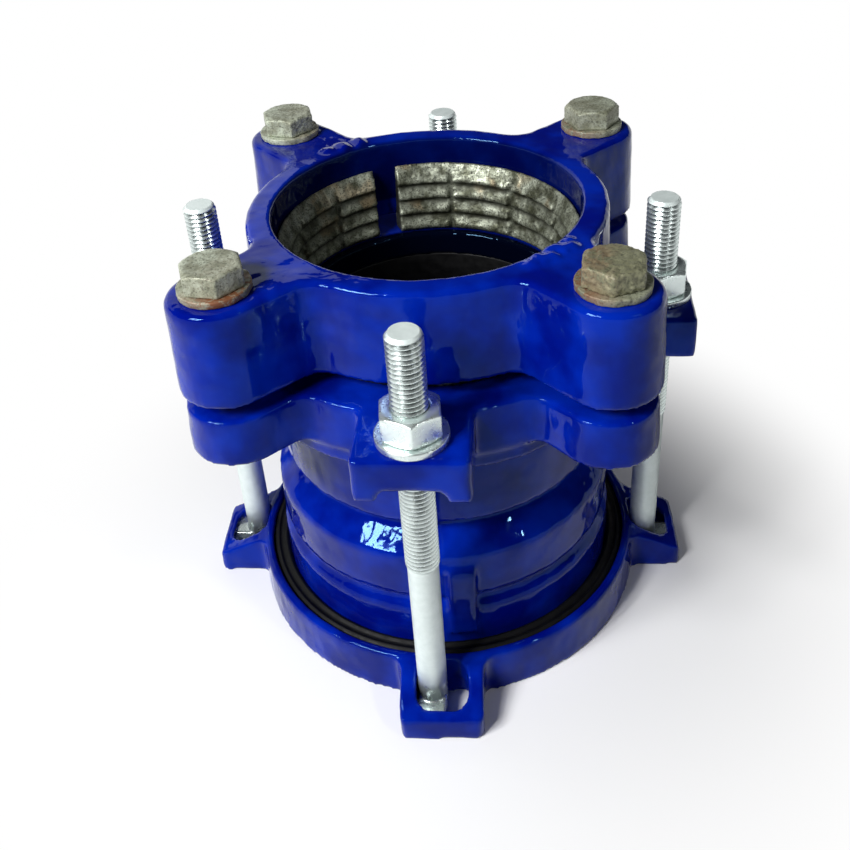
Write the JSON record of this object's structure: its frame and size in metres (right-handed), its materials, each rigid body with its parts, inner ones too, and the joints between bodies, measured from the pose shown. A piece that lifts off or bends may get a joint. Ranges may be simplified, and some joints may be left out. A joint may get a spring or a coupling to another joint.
{
  "type": "restrained stepped pipe coupling",
  "caption": "Bolted iron coupling that joins two plain pipe ends of different size, with rubber gaskets, a toothed gripper ring and long draw bolts.",
  "frame": {"origin": "on the pipe axis, at the underside of the end ring that the coupling stands on", "axes": "+Z along the pipe axis, from the end ring up to the clamp ring; long bolts on X and Y, clamp bolts on the diagonals"},
  "size_m": [0.1998, 0.1998, 0.1807],
  "materials": {
    "blue_enamel": "glossy enamel over a rough casting, with runs",
    "black_rubber": "matt moulded rubber",
    "grey_casting": "rough dull grey galvanised casting",
    "bright_zinc": "bright zinc plate",
    "dull_zinc": "dull, rough hot-dip zinc with spots of rust"
  },
  "bodies": {
    "base": {"end_ring": "blue_enamel", "lower_gasket": "black_rubber", "sleeve": "blue_enamel", "upper_gasket": "black_rubber", "long_bolt_front": "bright_zinc", "long_bolt_right": "bright_zinc", "long_bolt_back": "bright_zinc", "long_bolt_left": "bright_zinc"},
    "gland": {"gland_ring": "blue_enamel", "gripper_ring": "grey_casting", "long_washer_front": "bright_zinc", "long_washer_right": "bright_zinc", "long_washer_back": "bright_zinc", "long_washer_left": "bright_zinc"},
    "clamp": {"clamp_ring": "blue_enamel", "clamp_washer_front_left": "dull_zinc", "clamp_washer_front_right": "dull_zinc", "clamp_washer_back_right": "dull_zinc", "clamp_washer_back_left": "dull_zinc"},
    "nut_front": {"long_nut_front": "bright_zinc"},
    "nut_right": {"long_nut_right": "bright_zinc"},
    "nut_back": {"long_nut_back": "bright_zinc"},
    "nut_left": {"long_nut_left": "bright_zinc"},
    "screw_front_left": {"clamp_bolt_front_left": "dull_zinc"},
    "screw_front_right": {"clamp_bolt_front_right": "dull_zinc"},
    "screw_back_right": {"clamp_bolt_back_right": "dull_zinc"},
    "screw_back_left": {"clamp_bolt_back_left": "dull_zinc"}
  },
  "joints": [
    {"name": "gland_draw", "type": "slide", "parent": "base", "child": "gland", "axis": [0, 0, -1], "range_m": [0, 0.003], "deforming": ["upper_gasket"]},
    {"name": "clamp_draw", "type": "slide", "parent": "gland", "child": "clamp", "axis": [0, 0, -1], "range_m": [0, 0.002]},
    {"name": "long_nut_front_turn", "type": "hinge", "parent": "gland", "child": "nut_front", "pos_m": [0, -0.0844, 0.1377], "axis": [0, 0, -1], "range_deg": [0, 618]},
    {"name": "long_nut_right_turn", "type": "hinge", "parent": "gland", "child": "nut_right", "pos_m": [0.0844, 0, 0.1377], "axis": [0, 0, -1], "range_deg": [0, 618]},
    {"name": "long_nut_back_turn", "type": "hinge", "parent": "gland", "child": "nut_back", "pos_m": [0, 0.0844, 0.1377], "axis": [0, 0, -1], "range_deg": [0, 618]},
    {"name": "long_nut_left_turn", "type": "hinge", "parent": "gland", "child": "nut_left", "pos_m": [-0.0844, 0, 0.1377], "axis": [0, 0, -1], "range_deg": [0, 618]},
    {"name": "clamp_bolt_front_left_turn", "type": "hinge", "parent": "clamp", "child": "screw_front_left", "pos_m": [-0.06201, -0.06201, 0.177], "axis": [0, 0, -1], "range_deg": [0, 412]},
    {"name": "clamp_bolt_front_right_turn", "type": "hinge", "parent": "clamp", "child": "screw_front_right", "pos_m": [0.06201, -0.06201, 0.177], "axis": [0, 0, -1], "range_deg": [0, 412]},
    {"name": "clamp_bolt_back_right_turn", "type": "hinge", "parent": "clamp", "child": "screw_back_right", "pos_m": [0.06201, 0.06201, 0.177], "axis": [0, 0, -1], "range_deg": [0, 412]},
    {"name": "clamp_bolt_back_left_turn", "type": "hinge", "parent": "clamp", "child": "screw_back_left", "pos_m": [-0.06201, 0.06201, 0.177], "axis": [0, 0, -1], "range_deg": [0, 412]}
  ],
  "couplings": [
    {"joint": "long_nut_front_turn", "follows": "gland_draw", "rad_per_m": 3590.4},
    {"joint": "long_nut_right_turn", "follows": "gland_draw", "rad_per_m": 3590.4},
    {"joint": "long_nut_back_turn", "follows": "gland_draw", "rad_per_m": 3590.4},
    {"joint": "long_nut_left_turn", "follows": "gland_draw", "rad_per_m": 3590.4},
    {"joint": "clamp_bolt_front_left_turn", "follows": "clamp_draw", "rad_per_m": 3590.4},
    {"joint": "clamp_bolt_front_right_turn", "follows": "clamp_draw", "rad_per_m": 3590.4},
    {"joint": "clamp_bolt_back_right_turn", "follows": "clamp_draw", "rad_per_m": 3590.4},
    {"joint": "clamp_bolt_back_left_turn", "follows": "clamp_draw", "rad_per_m": 3590.4}
  ]
}
